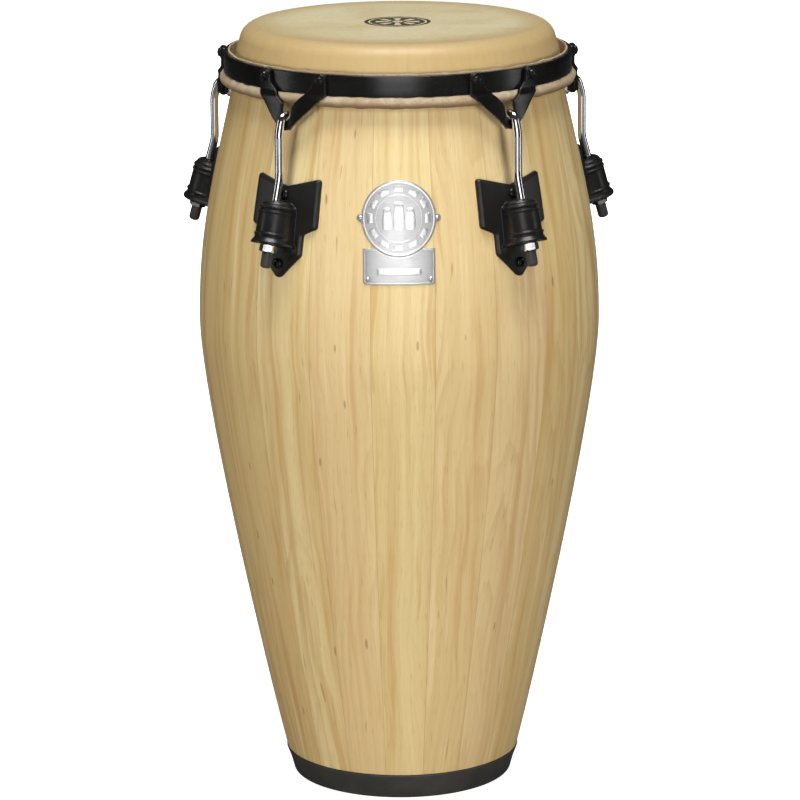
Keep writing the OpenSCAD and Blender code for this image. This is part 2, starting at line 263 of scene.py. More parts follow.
def flat_blank(outline, thick, bevel, holes=(), grid=2.0, inset=None):
    """A bmesh of sheet metal lying in (y, z), its thickness along x, edges rounded, cut to bend.

    inset=(width, drop) gives the front face a chamfer that wide and that deep.
    """
    bm = bmesh.new()
    ring = [bm.verts.new((0, y, z)) for y, z in outline]
    bm.faces.new(ring)
    for hole in holes:
        bm.faces.new([bm.verts.new((0, y, z)) for y, z in hole])
    if holes:
        bmesh.ops.delete(bm, geom=list(bm.faces), context="FACES_ONLY")
        bmesh.ops.triangle_fill(bm, use_beauty=True, use_dissolve=True, edges=list(bm.edges))
    back = list(bm.faces)
    made = bmesh.ops.extrude_face_region(bm, geom=back)
    front = [g for g in made["geom"] if isinstance(g, bmesh.types.BMVert)]
    bmesh.ops.translate(bm, verts=front, vec=(thick, 0, 0))
    bmesh.ops.recalc_face_normals(bm, faces=bm.faces)
    if inset:
        tops = [f for f in bm.faces if all(v.co.x > thick - 1e-6 for v in f.verts)]
        bmesh.ops.inset_region(bm, faces=tops, thickness=inset[0], depth=0.0,
                               use_even_offset=True)
        for v in bm.verts:
            if v.co.x > thick - 1e-6 and any(
                    not all(w.co.x > thick - 1e-6 for w in f.verts) for f in v.link_faces):
                v.co.x -= inset[1]
    if bevel:
        rims = [e for e in bm.edges if len(e.link_faces) == 2
                and e.calc_face_angle(0) > math.radians(50)
                and abs(e.verts[0].co.x - e.verts[1].co.x) < 1e-6]
        bmesh.ops.bevel(bm, geom=rims, offset=bevel, segments=3, profile=0.5, affect="EDGES",
                        clamp_overlap=False)
    for axis in (1, 2):
        low = min(v.co[axis] for v in bm.verts)
        high = max(v.co[axis] for v in bm.verts)
        k = int((high - low) / grid)
        for j in range(1, k + 1):
            at = low + (high - low) * j / (k + 1)
            plane = Vector((0, 0, 0))
            normal = Vector((0, 0, 0))
            plane[axis] = at
            normal[axis] = 1
            bmesh.ops.bisect_plane(bm, geom=list(bm.verts) + list(bm.edges) + list(bm.faces),
                                   plane_co=plane, plane_no=normal, dist=1e-4)
    return bm


def bend_over(bm, radius_at):
    """Bends a flat blank over a round surface: radius_at(z) is where its back lies."""
    for v in bm.verts:
        w, y, z = v.co
        r = float(radius_at(z)) + w
        v.co.x = math.sqrt(max(r * r - y * y, 0.0))


def to_mesh(bm, name):
    bmesh.ops.scale(bm, vec=(MM, MM, MM), verts=bm.verts)
    me = bpy.data.meshes.new(name)
    bm.to_mesh(me)
    bm.free()
    return me


def ring_rows(rows, steps, closed):
    """Vertices and faces of a shape given as rings of (radii, heights) round the Z axis."""
    a = 2 * math.pi * np.arange(steps) / steps
    m = len(rows)
    verts = np.empty((steps, m, 3))
    for j, (r, z) in enumerate(rows):
        verts[:, j] = np.column_stack([r * np.cos(a), r * np.sin(a), z + 0 * a])
    faces = [(i * m + j, (i + 1) % steps * m + j, (i + 1) % steps * m + (j + 1) % m,
              i * m + (j + 1) % m) for i in range(steps) for j in range(m if closed else m - 1)]
    return verts.reshape(-1, 3), faces


def swept(path, radius, sides=28):
    """A tube along a path in the XZ plane. radius(i, angle) is its radius at path point i."""
    p = np.asarray(path, float)
    t = np.gradient(p, axis=0)
    t /= np.linalg.norm(t, axis=1)[:, None]
    a = 2 * math.pi * np.arange(sides) / sides
    verts = []
    for i, (x, z) in enumerate(p):
        n = np.array([-t[i, 1], 0.0, t[i, 0]])
        r = radius(i, a)
        ring = np.array([x, 0.0, z]) + r[:, None] * (
            np.cos(a)[:, None] * n + np.sin(a)[:, None] * np.array([0.0, 1.0, 0.0]))
        verts.append(ring)
    verts = np.vstack(verts)
    m = len(p)
    faces = [(i * sides + j, i * sides + (j + 1) % sides, (i + 1) * sides + (j + 1) % sides,
              (i + 1) * sides + j) for i in range(m - 1) for j in range(sides)]
    faces.append(tuple(range(sides)))
    faces.append(tuple((m - 1) * sides + j for j in range(sides)))
    return verts, faces


def placed(verts, rotation, shift):
    return np.asarray(verts, float) @ np.array(rotation).T + np.array(shift)


def join(parts):
    """One vertex and face list from several."""
    verts, faces, base = [], [], 0
    for v, f in parts:
        verts.append(np.asarray(v, float))
        faces += [tuple(base + k for k in q) for q in f]
        base += len(v)
    return np.vstack(verts), faces


# ---------------------------------------------------------------- materials


class Shader:
    """One node material, built from small steps."""

    def __init__(self, name):
        self.mat = bpy.data.materials.new(name)
        self.mat.use_nodes = True
        self.tree = self.mat.node_tree
        self.bsdf = self.tree.nodes["Principled BSDF"]
        self.point = self.node("ShaderNodeTexCoord").outputs["Object"]

    def node(self, kind, **values):
        n = self.tree.nodes.new(kind)
        for key, value in values.items():
            setattr(n, key, value)
        return n

    def feed(self, socket, value):
        if isinstance(value, bpy.types.NodeSocket):
            self.tree.links.new(value, socket)
        else:
            socket.default_value = value

    def calc(self, op, a, b=0.0, c=0.0, clamp=False):
        n = self.node("ShaderNodeMath", operation=op, use_clamp=clamp)
        for socket, value in zip(n.inputs, (a, b, c)):
            self.feed(socket, value)
        return n.outputs[0]

    def times(self, a, b):
        return self.calc("MULTIPLY", a, b)

    def plus(self, a, b, clamp=False):
        return self.calc("ADD", a, b, clamp=clamp)

    def minus(self, a, b):
        return self.calc("SUBTRACT", a, b)

    def ramp(self, value, slope, start):
        """value * slope + start"""
        return self.calc("MULTIPLY_ADD", value, slope, start)

    def length(self, a, b):
        return self.calc("SQRT", self.plus(self.times(a, a), self.times(b, b)))

    def xyz(self, vector=None):
        n = self.node("ShaderNodeSeparateXYZ")
        self.feed(n.inputs[0], vector or self.point)
        return n.outputs[0], n.outputs[1], n.outputs[2]

    def vector(self, x, y, z):
        n = self.node("ShaderNodeCombineXYZ")
        for socket, value in zip(n.inputs, (x, y, z)):
            self.feed(socket, value)
        return n.outputs[0]

    def scaled(self, x, y, z, kx, ky, kz):
        return self.vector(self.times(x, kx), self.times(y, ky),
                           self.times(z, kz))

    def noise(self, vector, scale=1.0, detail=2.0, rough=0.5, bend=0.0):
        n = self.node("ShaderNodeTexNoise")
        self.feed(n.inputs["Vector"], vector)
        for key, value in (("Scale", scale), ("Detail", detail), ("Roughness", rough),
                           ("Distortion", bend)):
            n.inputs[key].default_value = value
        return n.outputs["Fac"]

    def cells(self, vector, scale):
        n = self.node("ShaderNodeTexVoronoi")
        self.feed(n.inputs["Vector"], vector)
        n.inputs["Scale"].default_value = scale
        return n.outputs["Distance"]

    def draw(self, number):
        """Three even random values for a whole number."""
        n = self.node("ShaderNodeTexWhiteNoise", noise_dimensions="1D")
        self.feed(n.inputs["W"], number)
        return self.xyz(n.outputs["Color"])

    def span(self, value, low, high, out_low=0.0, out_high=1.0):
        """value between low and high, as a smooth step from out_low to out_high."""
        n = self.node("ShaderNodeMapRange", interpolation_type="SMOOTHSTEP")
        for socket, v in zip(n.inputs, (value, low, high, out_low, out_high)):
            self.feed(socket, v)
        return n.outputs[0]

    def mix(self, fac, a, b, blend="MIX"):
        n = self.node("ShaderNodeMix", data_type="RGBA", blend_type=blend)
        self.feed(n.inputs[0], fac)
        for socket, value in ((n.inputs[6], a), (n.inputs[7], b)):
            self.feed(socket, (*value, 1.0) if isinstance(value, tuple) else value)
        return n.outputs[2]

    def bump(self, height, distance, strength=1.0):
        n = self.node("ShaderNodeBump")
        n.inputs["Strength"].default_value = strength
        n.inputs["Distance"].default_value = distance
        self.feed(n.inputs["Height"], height)
        self.feed(self.bsdf.inputs["Normal"], n.outputs[0])

    def set(self, **values):
        for key, value in values.items():
            self.feed(self.bsdf.inputs[key.replace("_", " ")], value)
        return self.mat


STAVE_TURN = 18.0
FIRST_JOINT = -8.0


def wood_material():
    """Rubberwood staves under satin lacquer; each stave has its own growth rings and tone."""
    s = Shader("rubberwood")
    x, y, z = s.xyz()
    back = s.times(y, -1.0)
    turn = s.ramp(s.calc("ARCTAN2", x, back), 180 / math.pi / STAVE_TURN,
                  -FIRST_JOINT / STAVE_TURN)
    number = s.calc("FLOOR", turn)
    across = s.minus(turn, number)
    radius = s.length(x, y)
    width = s.times(radius, math.radians(STAVE_TURN))
    u = s.times(s.minus(across, 0.5), width)
    r1, r2, r3 = s.draw(s.plus(number, 3.37))
    q1, q2, q3 = s.draw(s.plus(number, 41.13))
    seed = s.times(number, 7.31)

    def field(per_across, per_along, per_stave, detail, rough=0.5):
        """A noise drawn out along the stave, different on every stave."""
        return s.noise(s.scaled(u, z, number, per_across, per_along, per_stave), 1.0, detail,
                       rough)

    snake = s.noise(s.vector(seed, s.times(z, 4.2), 9.0), 1.0, 2.0)
    ripple = field(30.0, 9.0, 2.3, 2.0)
    u = s.plus(u, s.ramp(snake, 0.022, -0.011))
    u = s.plus(u, s.ramp(ripple, 0.008, -0.004))

    # growth rings round a pith line that runs beside the stave
    sway = s.noise(s.vector(seed, s.times(z, 5.0), 0.0), 1.0, 2.0)
    drift = s.noise(s.vector(s.times(z, 3.2), seed, 4.0), 1.0, 1.0)
    pith_u = s.ramp(r1, 0.09, -0.045)
    pith_u = s.plus(pith_u, s.ramp(drift, 0.024, -0.012))
    depth = s.ramp(r2, 0.045, 0.002)
    depth = s.plus(depth, s.ramp(sway, 0.036, -0.018))
    depth = s.plus(depth, s.times(s.minus(radius, 0.16), 0.30))
    lean = s.times(s.minus(r3, 0.5), 0.05)
    depth = s.ramp(s.minus(z, 0.35), lean, depth)
    du = s.minus(u, pith_u)
    far = s.length(du, depth)
    wave = field(90.0, 9.0, 1.7, 3.0)
    rings = s.times(far, s.ramp(q1, 90.0, 90.0))
    rings = s.plus(rings, s.times(wave, 1.1))
    phase = s.calc("FRACT", rings)
    late = s.times(s.span(phase, 0.35, 0.93), s.span(phase, 1.0, 0.94))
    patch = field(22.0, 2.4, 3.9, 2.0)
    late = s.times(late, s.span(patch, 0.42, 0.66, 0.12, 1.0))

    # fibres, vessels and mineral flecks, all drawn out along the stave
    bands = field(70.0, 1.3, 5.3, 2.0)
    streaks = field(230.0, 2.2, 2.9, 3.0, 0.6)
    brown = field(80.0, 3.4, 7.7, 3.0, 0.6)
    fibres = field(1300.0, 16.0, 1.3, 3.0, 0.65)
    pores = field(2100.0, 62.0, 8.1, 1.0)
    pores = s.times(s.span(pores, 0.62, 0.72), s.span(streaks, 0.38, 0.62, 0.35, 1.0))
    flecks = s.span(field(420.0, 34.0, 6.7, 0.0), 0.78, 0.86)
    rare = s.span(s.cells(s.scaled(u, z, number, 55.0, 13.0, 9.9), 1.0), 0.085, 0.045)

    light, tan = (0.790, 0.660, 0.350), (0.540, 0.360, 0.145)
    tone = s.ramp(s.minus(q2, 0.5), 0.80, 0.50)
    tone = s.plus(tone, s.ramp(bands, 1.5, -0.75))
    tone = s.plus(tone, s.ramp(streaks, 0.8, -0.40), clamp=True)
    colour = s.mix(tone, light, (0.665, 0.500, 0.220))
    colour = s.mix(s.span(s.plus(bands, s.times(streaks, 0.4)), 0.72, 1.0,
                          0.0, 0.55), colour, tan)
    colour = s.mix(s.span(brown, 0.52, 0.70, 0.0, 0.66), colour, (0.55, 0.335, 0.115))
    colour = s.mix(s.span(brown, 0.44, 0.30, 0.0, 0.66), colour, (0.87, 0.72, 0.42))
    colour = s.mix(s.times(late, 0.44), colour, tan)
    pink = s.times(s.span(q3, 0.55, 0.95), 0.35)
    colour = s.mix(pink, colour, (0.70, 0.50, 0.29))
    colour = s.mix(s.span(fibres, 0.35, 0.72, 0.0, 0.20), colour, tan)
    colour = s.mix(s.times(pores, 0.40), colour, (0.33, 0.20, 0.09))
    colour = s.mix(s.times(flecks, 0.50), colour, (0.36, 0.21, 0.09))
    colour = s.mix(s.times(rare, 0.55), colour, (0.22, 0.12, 0.05))

    # glue line between staves
    edge = s.times(s.calc("MINIMUM", across, s.minus(1.0, across)), width)
    colour = s.mix(s.span(edge, 0.0005, 0.0001, 0.0, 0.38), colour, (0.30, 0.18, 0.08))

    # painted shadow of the hide's wrap: the shell darkens in a band just below the hoop
    colour = s.mix(s.span(z, (HOOP_Z - 11) * MM, (HOOP_Z - 6) * MM, 0.0, 0.50), colour,
                   (0.32, 0.20, 0.09))

    grain = s.minus(fibres, s.times(pores, 0.8))
    s.bump(grain, 0.00008, 0.6)
    rough = s.span(fibres, 0.3, 0.75, 0.34, 0.46)
    return s.set(Base_Color=colour, Roughness=rough, Coat_Weight=0.20, Coat_Roughness=0.22)


def hide_material():
    """The playing side of a natural hide, with a printed disc at its middle."""
    s = Shader("hide")
    x, y, z = s.xyz()
    radius = s.length(x, y)
    angle = s.calc("ARCTAN2", y, x)
    cloud = s.noise(s.point, 11.0, 4.0, 0.55, 0.6)
    fine = s.noise(s.point, 240.0, 4.0, 0.6)
    pits = s.cells(s.point, 900.0)
    colour = s.mix(s.span(cloud, 0.32, 0.72), (0.735, 0.665, 0.430), (0.650, 0.535, 0.300))
    # darker, more amber towards the rim: partly the hide's own tone, partly painted shade where
    # the head turns down over the edge
    colour = s.mix(s.span(radius, 0.095, 0.138, 0.0, 0.90), colour, (0.530, 0.390, 0.175))
    around = s.vector(s.times(s.calc("COSINE", angle), 26.0),
                      s.times(s.calc("SINE", angle), 26.0),
                      s.times(z, 22.0))
    drawn = s.noise(around, 1.0, 3.0, 0.6)
    shoulder = s.span(radius, 0.126, 0.147)
    # the shoulder's darker tone is partly the hide's own and partly painted shade
    colour = s.mix(s.times(shoulder, 0.60), colour, (0.54, 0.385, 0.175))
    colour = s.mix(s.times(shoulder, s.span(drawn, 0.42, 0.72, 0.0, 0.38)), colour,
                   (0.50, 0.31, 0.12))
    colour = s.mix(s.span(fine, 0.40, 0.75, 0.0, 0.16), colour, (0.46, 0.31, 0.14))
    colour = s.mix(s.span(pits, 0.20, 0.05, 0.0, 0.10), colour, (0.34, 0.22, 0.10))

    # worn ink disc with plain rings and spokes
    wear = s.noise(s.point, 700.0, 3.0, 0.7)
    disc = s.span(radius, 0.0306, 0.0302)
    ring = s.times(s.span(radius, 0.0250, 0.0253), s.span(radius, 0.0270, 0.0267))
    spokes = s.span(s.calc("COSINE", s.times(angle, 8.0)), 0.05, 0.20)
    spokes = s.times(spokes, s.times(s.span(radius, 0.0078, 0.0082),
                                     s.span(radius, 0.0202, 0.0198)))
    hub = s.span(radius, 0.0050, 0.0047)
    bare = s.plus(s.plus(ring, spokes), hub, clamp=True)
    ink = s.times(disc, s.minus(1.0, bare))
    ink = s.times(ink, s.span(wear, 0.75, 0.55, 0.70, 0.96))
    colour = s.mix(ink, colour, (0.045, 0.036, 0.030))

    s.bump(s.plus(fine, s.times(pits, 0.4)), 0.00012, 0.5)
    rough = s.span(fine, 0.3, 0.7, 0.42, 0.55)
    return s.set(Base_Color=colour, Roughness=rough, Coat_Weight=0.08, Coat_Roughness=0.30)


def flesh_material():
    """The rough inner side of the hide, where it wraps the hoop."""
    s = Shader("hide_flesh")
    cloud = s.noise(s.point, 38.0, 4.0, 0.6, 0.8)
    fuzz = s.noise(s.point, 420.0, 5.0, 0.7)
    colour = s.mix(s.span(cloud, 0.30, 0.70), (0.540, 0.450, 0.315), (0.390, 0.290, 0.175))
    colour = s.mix(s.span(fuzz, 0.42, 0.68, 0.0, 0.45), colour, (0.30, 0.20, 0.10))
    # painted shade: the underside of the wrap darkens, where it faces away from the light
    painted_wrap_shade = s.node("ShaderNodeAttribute", attribute_name="painted_wrap_shade").outputs["Fac"]
    colour = s.mix(s.span(painted_wrap_shade, 0.0, 1.0, 0.0, 0.85), colour, (0.16, 0.10, 0.05))
    s.bump(s.plus(fuzz, cloud), 0.0007, 0.7)
    return s.set(Base_Color=colour, Roughness=0.82)


def black_material(name, tone, rough, peel, depth):
    """Powder coat: near black with a fine orange peel and faint dust."""
    s = Shader(name)
    grain = s.noise(s.point, peel, 2.0, 0.5)
    cloud = s.noise(s.point, 30.0, 3.0, 0.6)
    colour = s.mix(s.span(cloud, 0.35, 0.75, 0.0, 0.6), (tone, tone, tone * 0.98),
                   (tone * 1.7, tone * 1.65, tone * 1.55))
    s.bump(grain, depth, 0.6)
    return s.set(Base_Color=colour, Roughness=s.span(cloud, 0.3, 0.7, rough, rough + 0.08),
                 Specular_IOR_Level=0.5)


def rubber_material():
    s = Shader("black_rubber")
    grain = s.noise(s.point, 1400.0, 2.0, 0.6)
    cloud = s.noise(s.point, 24.0, 4.0, 0.6)
    colour = s.mix(s.span(cloud, 0.35, 0.75), (0.040, 0.040, 0.038), (0.060, 0.058, 0.055))
    s.bump(grain, 0.00005, 0.6)
    return s.set(Base_Color=colour, Roughness=s.span(cloud, 0.3, 0.7, 0.38, 0.46))


def chrome_material():
    s = Shader("chrome")
    cloud = s.noise(s.point, 90.0, 4.0, 0.6)
    colour = s.mix(s.span(cloud, 0.35, 0.75), (0.88, 0.88, 0.89), (0.80, 0.80, 0.82))
    return s.set(Base_Color=colour, Metallic=1.0, Roughness=s.span(cloud, 0.3, 0.7, 0.05, 0.10))


def zinc_material():
    s = Shader("zinc_steel")
    cloud = s.noise(s.point, 260.0, 4.0, 0.7)
    colour = s.mix(s.span(cloud, 0.35, 0.70), (0.66, 0.66, 0.67), (0.50, 0.50, 0.50))
    s.bump(cloud, 0.00005, 0.5)
    return s.set(Base_Color=colour, Metallic=1.0, Roughness=s.span(cloud, 0.3, 0.7, 0.30, 0.42))


def badge_material(name, bright, rough):
    """Satin metal with fine level brush lines."""
    s = Shader(name)
    x, y, z = s.xyz()
    lines = s.noise(s.scaled(x, y, z, 40.0, 40.0, 5200.0), 1.0, 2.0, 0.6)
    cloud = s.noise(s.point, 60.0, 2.0)
    colour = s.mix(s.span(lines, 0.35, 0.70, 0.0, 0.5), (bright, bright, bright * 1.01),
                   (bright * 0.8, bright * 0.8, bright * 0.81))
    s.bump(lines, 0.00003, 0.5)
    rough = s.plus(s.span(lines, 0.3, 0.7, rough, rough + 0.08),
                   s.span(cloud, 0.3, 0.7, 0.0, 0.05))
    return s.set(Base_Color=colour, Metallic=0.88, Roughness=rough)


WOOD = wood_material()
HAIR_SIDE = hide_material()
FLESH_SIDE = flesh_material()
BLACK = black_material("black_steel", 0.004, 0.22, 1500.0, 0.00004)
CASTING = black_material("black_casting", 0.008, 0.32, 900.0, 0.00008)
RUBBER = rubber_material()
CHROME = chrome_material()
ZINC = zinc_material()
BADGE = badge_material("satin_badge", 0.90, 0.26)
BADGE_GROUND = badge_material("etched_badge", 0.70, 0.32)


# ---------------------------------------------------------------- shell


def stave_profile():
    body = OUTLINE[OUTLINE[:, 1] > FOOT_H + 0.5]
    foot_r = float(shell_r(FOOT_H))
    inner_r = float(shell_r(DRUM_H - 6)) - WALL
    outer = [(99.9, 4.05), (foot_r - 3.9, FOOT_H), (foot_r, FOOT_H)] + body.tolist()
    outer += edge_arc(EDGE_ROUND - HIDE).tolist()
    inner = [(inner_r, DRUM_H - 4)] + (body[::-3] - [WALL, 0]).tolist()
    return outer + inner + [(PORT_R + 1, 10), (PORT_R + 1, 4.05)]


BOLT_Z = (577.0, 516.5)
BOLT_R = 3.0


def shell_tilt(z):
    """How far the shell leans back from upright at height z, in radians."""
    return math.atan((float(shell_r(z - 5)) - float(shell_r(z + 5))) / 10)


def on_shell(verts, z, turn, side=0.0):
    """Stands vertices made round the Z axis on the shell: their Z becomes straight out."""
    tilt = -shell_tilt(z)
    spin = turn + math.asin(side / float(shell_r(z)))
    m = (Matrix.Rotation(spin, 3, "Z") @ Matrix.Rotation(tilt, 3, "Y")
         @ Matrix.Rotation(math.pi / 2, 3, "Y"))
    r = float(shell_r(z))
    return placed(verts, m, (r * math.cos(spin), r * math.sin(spin), z))


def cut(ob, verts, faces):
    """Takes a closed shape out of a piece."""
    me = raw_mesh("cutter", verts, faces)
    weld(me, 1e-7)
    cutter = linked("cutter", me)
    mod = ob.modifiers.new("cut", "BOOLEAN")
    mod.operation = "DIFFERENCE"
    mod.solver = "EXACT"
    mod.object = cutter
    done = applied(ob)
    ob.data = done
    bpy.data.objects.remove(cutter)
    done.set_sharp_from_angle(angle=math.radians(32))


def rod_shape(radius, low, high, steps=32):
    return turned([(0, low), (radius, low), (radius, high), (0, high)], steps)


def build_shell():
    profile = stave_profile()
    lug_staves = {3: 1, 7: 2, 11: 3, 15: 4, 19: 5}
    for i in range(1, 21):
        start = -90 + FIRST_JOINT + (i - 1) * STAVE_TURN
        verts, faces = turned(profile, 30, start, STAVE_TURN)
        ob = mesh_piece("stave_wood_%02d" % i, verts, faces, WOOD, SHELL, "rubberwood",
                        ["stave_%02d" % i])
        if i in lug_staves:
            holes = []
            for z in BOLT_Z:
                v, f = rod_shape(BOLT_R + 0.1, -WALL - 8, 8)
                holes.append((on_shell(v, z, lug_turn(lug_staves[i])), f))
            cut(ob, *join(holes))


def build_foot():
    top_r = float(shell_r(FOOT_H))
    corners = [(PORT_R, 0, 1.2), (102.0, 0, 3.0), (105.6, 13.0, 40.0),
               (top_r + 0.8, FOOT_H - 0.9, 0.9), (top_r - 3.9, FOOT_H, 0.0), (99.8, 4.0, 0.0),
               (PORT_R, 4.0, 0.6)]
    verts, faces = turned(rounded(corners, 9), 300)
    mesh_piece("foot_rubber", verts, faces, RUBBER, SHELL, "black_rubber", ["foot_ring"])


# ---------------------------------------------------------------- head


def waves(angle, along, amount, seed, count=26, low=9, high=70):
    """A smooth uneven field round the drum, from a fixed set of sine waves."""
    r = np.random.default_rng(seed)
    out = np.zeros(np.broadcast(angle, along).shape)
    for _ in range(count):
        k = r.integers(low, high)
        out += np.sin(k * angle + r.uniform(0, 6.28) + along * r.uniform(-0.5, 0.5)) / count**0.5
    return out * amount


def build_head():
    mid = EDGE_ROUND - HIDE / 2
    shoulder = edge_arc(mid, 30)[::-1]
    wrap = HOOP_ROD_R + HIDE / 2
    turn = np.radians(np.linspace(178, 450, 60))
    hoop = np.column_stack([HOOP_R + wrap * np.cos(turn), HOOP_Z + wrap * np.sin(turn)])
    flat = [(r, DRUM_H - HIDE / 2) for r in np.linspace(0, EDGE_R, 26)[:-1]]
    t = np.linspace(0, 1, 18)[1:-1, None]
    neck = shoulder[-1] * (1 - t) + hoop[0] * t
    centre = np.vstack([flat, shoulder, neck, hoop])
    along = np.gradient(centre, axis=0)
    along /= np.linalg.norm(along, axis=1)[:, None]
    out = np.column_stack([-along[:, 1], along[:, 0]])
    out[0] = (0, 1)
    hair = centre + out * HIDE / 2
    flesh = centre - out * HIDE / 2
    hair[0, 0] = flesh[0, 0] = 0
    profile = np.vstack([hair, flesh[::-1]])
    n = len(centre)
    verts, faces = turned(profile, 360)
    # the wrap is lumpy where the wet hide was tucked and dried
    verts = verts.reshape(360, len(profile), 3)
    a = (2 * math.pi * np.arange(360) / 360)[:, None]
    s = np.arange(len(hoop))[None, ::-1] / 9.0
    ease = np.clip(np.arange(len(hoop)) / 12.0, 0, 1)[::-1]
    lump = waves(a, s, 0.30, 5) + waves(a, s, 0.14, 6, 40, 70, 170)
    lump = np.clip(lump, -0.5, 0.55) * ease
    outward = verts[:, n:n + len(hoop)] - np.stack([
        HOOP_R * np.cos(a) + 0 * s, HOOP_R * np.sin(a) + 0 * s,
        HOOP_Z + 0 * a + 0 * s], axis=2)
    outward /= np.linalg.norm(outward, axis=2)[:, :, None]
    verts[:, n:n + len(hoop)] += outward * lump[:, :, None]
    head = mesh_piece("head_hide", verts.reshape(-1, 3), faces, [HAIR_SIDE, FLESH_SIDE], None,
                      "hide", sharp=50)
    zone = (HOOP_Z + 5.0) * MM
    for f in head.data.polygons:
        c = f.center
        r = math.hypot(c.x, c.y)
        if c.z < zone and r > (HOOP_R - 5.9) * MM:
            f.material_index = 1
    # how far each point lies below the middle of the wrap; it drives painted shade on the wrap's
    # underside, which moves with the ring
    painted_wrap_shade = head.data.attributes.new("painted_wrap_shade", "FLOAT", "POINT")
    for v, shade in zip(head.data.vertices, painted_wrap_shade.data):
        shade.value = min(1.0, max(0.0, (HOOP_Z + 2.0 - v.co.z / MM) / 6.0))
    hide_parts("drum_skin", "skin_collar")
    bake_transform(head)

    # the trimmed end of the hide stands up inside the ring
    top = RING_Z1 + 1.35
    x0, x1 = RING_R - RING_T - HIDE, RING_R - RING_T - 0.05
    corners = [(x0, HOOP_Z + 3.2, 0), (x1, HOOP_Z + 5.0, 0.5), (x1, top, 0.5), (x0, top, 0.5)]
    line = densify(rounded(corners, 20), 1.2)
    verts, faces = turned(line, 720)
    verts = verts.reshape(720, len(line), 3)
    a = (2 * math.pi * np.arange(720) / 720)[:, None]
    high = np.clip((verts[:, :, 2] - RING_Z0) / (top - RING_Z0), 0, 1) ** 2
    verts[:, :, 2] += high * (waves(a, 0 * a, 0.35, 8) + waves(a, 0 * a, 0.16, 9, 40, 80, 240))
    mesh_piece("hide_cut_edge", verts.reshape(-1, 3), faces, FLESH_SIDE, RING, "hide")


# ---------------------------------------------------------------- ring and hangers


def build_ring():
    x0, x1 = RING_R - RING_T, RING_R
    corners = [(x0, RING_Z0, 0.7), (x1, RING_Z0, 1.0), (x1, RING_Z1, 1.0), (x0, RING_Z1, 0.7)]
    verts, faces = turned(densify(rounded(corners, 15), 6.0), 360)
    mesh_piece("ring_band", verts, faces, BLACK, RING, "black_steel", ["tuning_ring"])


RIVET_Y = 30.0
RIVET_Z = RING_Z0 + 13.4
PAD_R = 6.5
SLOT_R = 5.5
CROTCH_Z = RING_Z0 - 23.6
VERTEX_X = 170.0
HANGER_T = 4.0


def hanger_back():
    """Radius of the hanger's back face by height: on the ring, over the hoop, then leaning out."""
    clear = HOOP_R + HOOP_ROD_R + HIDE + 0.45
    z = np.array([RING_Z0 - 45, RING_Z0 - 22, RING_Z0 - 7.4, RING_Z0 - 3.2, RING_Z0 + 1.2,
                  RING_Z0 + 25])
    r = np.array([VERTEX_X - 2, VERTEX_X - 2, clear, clear, RING_R, RING_R])
    fine = np.linspace(z[0], z[-1], 700)
    line = np.interp(fine, z, r)
    k = int(3.4 / (fine[1] - fine[0]))
    line = np.convolve(np.pad(line, k, mode="edge"), np.ones(k) / k, mode="same")[k:-k]
    return lambda h: float(np.interp(h, fine, line)) + 0.03


def build_hangers():
    back = hanger_back()
    slot_z = CROTCH_Z + SLOT_R
    low_z = slot_z - 6 - 8.5
    o, i = RIVET_Y + PAD_R, RIVET_Y - PAD_R
    turn_z = low_z + 8.5 * (1 - math.sqrt(0.5))
    reach = o - 8.5 * math.sqrt(0.5)
    knee = slot_z + 8.5
    corners = [(0, low_z - 3.2, 9.5), (o, turn_z + reach, 9.0), (o, RIVET_Z + PAD_R, PAD_R),
               (i, RIVET_Z + PAD_R, PAD_R), (i, knee + i - SLOT_R, 7.0), (SLOT_R, knee, 5.0),
               (SLOT_R, slot_z - SLOT_R, SLOT_R * 0.98), (-SLOT_R, slot_z - SLOT_R, SLOT_R * 0.98),
               (-SLOT_R, knee, 5.0), (-i, knee + i - SLOT_R, 7.0), (-i, RIVET_Z + PAD_R, PAD_R),
               (-o, RIVET_Z + PAD_R, PAD_R), (-o, turn_z + reach, 9.0)]
    bm = flat_blank(rounded(corners, 11), HANGER_T, 0.7, grid=1.6)
    bend_over(bm, back)
    me = to_mesh(bm, "hanger")
    for n in LUGS:
        add_piece("hanger_bar_%d" % n, me, BLACK, RING,
                  ["hook_hanger_%d" % n], sharp=40, turn=lug_turn(n))
    # rivets: a thin washer under a round head, clenched flush inside the ring
    head = rounded([(0, -RING_T - 0.35, 0), (2.4, -RING_T - 0.35, 0.3), (2.4, HANGER_T, 0),
                    (5.6, HANGER_T, 0), (5.6, HANGER_T + 0.95, 0.4), (4.3, HANGER_T + 0.95, 0),
                    (4.3, HANGER_T + 1.4, 0.3), (3.6, HANGER_T + 3.0, 1.5),
                    (0, HANGER_T + 4.1, 0)], 12, closed=False)
    v, f = turned(head, 40, closed=False)
    parts = []
    for n in LUGS:
        for side in (-1, 1):
            spin = lug_turn(n) + side * math.asin(RIVET_Y / RING_R)
            m = Matrix.Rotation(spin, 3, "Z") @ Matrix.Rotation(math.pi / 2, 3, "Y")
            shift = (RING_R * math.cos(spin), RING_R * math.sin(spin), RIVET_Z)
            parts.append((placed(v, m, shift), f))
    mesh_piece("rivet_heads", *join(parts), BLACK, RING, "black_steel", ["hanger_rivets"],
               sharp=40)


# ---------------------------------------------------------------- hook rods, nuts and caps

NUT_X, NUT_Z = 197.3, 533.0
LEAN = math.radians(16)
ROD_R = 3.97
ROD_X = 179.6
HOOK_BEND = 6.8
HOOK_Z = CROTCH_Z - 1.5
NECK_LEAN = math.radians(16)
ROD_END = 15.5
PITCH = 25.4 / 18
THREAD_TOP = 38.0


def along_rod(verts):
    """Stands vertices made round the Z axis on the leaning rod: the nut is their origin."""
    m = Matrix.Rotation(-LEAN, 3, "Y")
    return placed(verts, m, (NUT_X, 0, NUT_Z))


